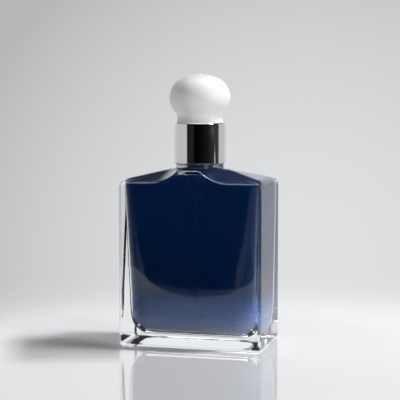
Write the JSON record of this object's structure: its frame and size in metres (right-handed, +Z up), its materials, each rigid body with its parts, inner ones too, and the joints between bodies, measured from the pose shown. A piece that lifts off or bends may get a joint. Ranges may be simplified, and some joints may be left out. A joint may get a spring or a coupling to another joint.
{
  "type": "aftershave bottle",
  "caption": "Thick-walled glass aftershave spray bottle with dark blue filling, bright metal collar and a pull-off white ball knob over a spray button.",
  "frame": {"origin": "middle of the base, on the surface that the bottle stands on", "axes": "+Z up along the neck axis, X across the width, +Y to the back; the broad front face and the nozzle look along -Y"},
  "size_m": [0.065, 0.04, 0.1225],
  "materials": {
    "clear_glass": "polished clear glass",
    "navy_liquid": "dark navy liquid",
    "soft_grey": "soft elastomer",
    "natural_plastic": "natural polypropylene",
    "black_plastic": "moulded black",
    "steel": "stainless",
    "aluminium_sheet": "anodised sheet",
    "bright_metal": "mirror bright",
    "white_knob": "satin white lacquer"
  },
  "bodies": {
    "bottle": {"glass_bottle": "clear_glass", "aftershave_liquid": "navy_liquid", "neck_gasket": "soft_grey", "pump_housing": "natural_plastic", "dip_tube": "natural_plastic", "return_spring": "steel", "stem_guide": "natural_plastic", "ferrule": "aluminium_sheet", "collar_liner": "black_plastic", "collar_shell": "bright_metal"},
    "plunger": {"stem": "natural_plastic", "piston": "natural_plastic"},
    "button": {"button_core": "black_plastic", "button_shell": "bright_metal", "nozzle_insert": "black_plastic"},
    "ball": {"inlet_ball": "steel"},
    "cap": {"cap_knob": "white_knob", "cap_liner": "natural_plastic"}
  },
  "joints": [
    {"name": "cap_pull", "type": "slide", "parent": "bottle", "child": "cap", "axis": [0, 0, 1], "range_m": [0, 0.035]},
    {"name": "button_press", "type": "slide", "parent": "bottle", "child": "plunger", "axis": [0, 0, -1], "range_m": [0, 0.0045], "stiffness_N_per_m": 900, "springref_m": -0.004, "deforming": ["return_spring"]},
    {"name": "button_turn", "type": "hinge", "parent": "plunger", "child": "button", "pos_m": [0, 0, 0.1], "axis": [0, 0, 1], "continuous": true},
    {"name": "ball_lift", "type": "slide", "parent": "bottle", "child": "ball", "axis": [0, 0, 1], "range_m": [0, 0.001]}
  ]
}
